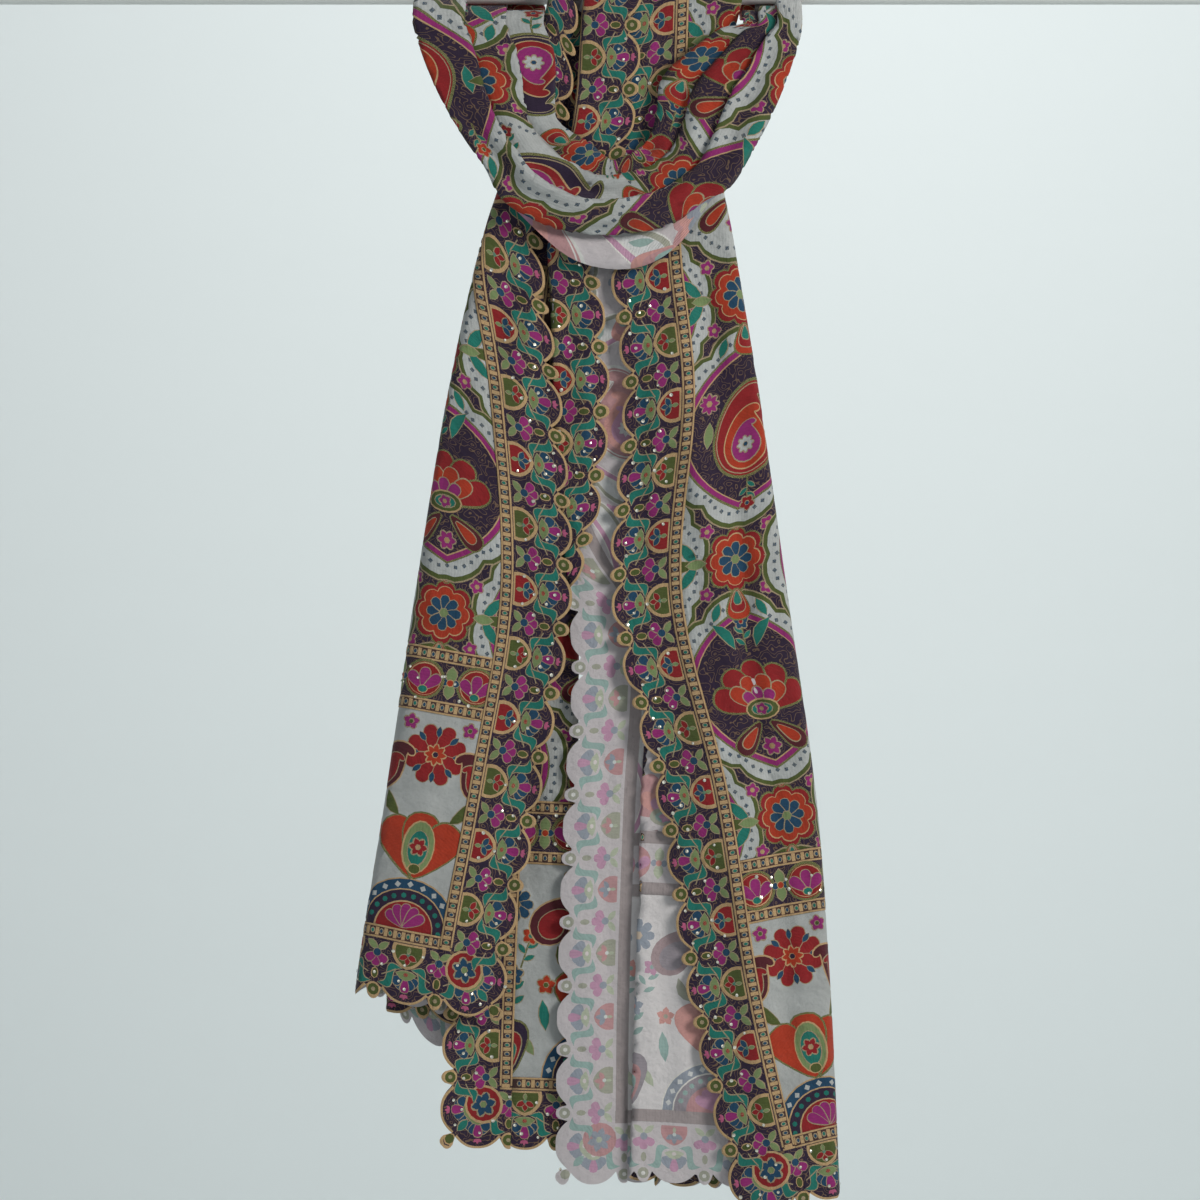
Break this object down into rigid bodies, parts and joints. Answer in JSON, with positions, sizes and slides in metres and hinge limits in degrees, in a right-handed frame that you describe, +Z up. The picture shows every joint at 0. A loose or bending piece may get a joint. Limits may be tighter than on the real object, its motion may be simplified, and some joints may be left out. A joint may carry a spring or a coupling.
{
  "type": "embroidered dupatta hitched on a rod",
  "caption": "Long scalloped embroidered shawl folded in half and hitched on a plain round rod, its two pleated ends hanging.",
  "frame": {"origin": "middle of the rod's axis, where the rod is held up", "axes": "+X along the rod to the viewer's right, +Z up, -Y towards the front where the bight crosses the tails"},
  "size_m": [1.1, 0.0971, 1.1157],
  "materials": {
    "field_cloth": "fabric",
    "border_cloth": "fabric",
    "rod_paint": "satin"
  },
  "bodies": {
    "root": {"rod": "rod_paint", "bight_band": "field_cloth", "arm_left": "field_cloth", "arm_right": "field_cloth", "wrap_left": "field_cloth", "wrap_right": "field_cloth", "neck_left": "field_cloth", "neck_right": "field_cloth", "field_left": "field_cloth", "field_right": "field_cloth", "end_panel_left": "field_cloth", "end_panel_right": "field_cloth", "cross_band_left": "border_cloth", "hem_border_left": "border_cloth", "front_border_left": "border_cloth", "back_border_left": "border_cloth", "cross_band_right": "border_cloth", "hem_border_right": "border_cloth", "front_border_right": "border_cloth", "back_border_right": "border_cloth"}
  },
  "joints": []
}
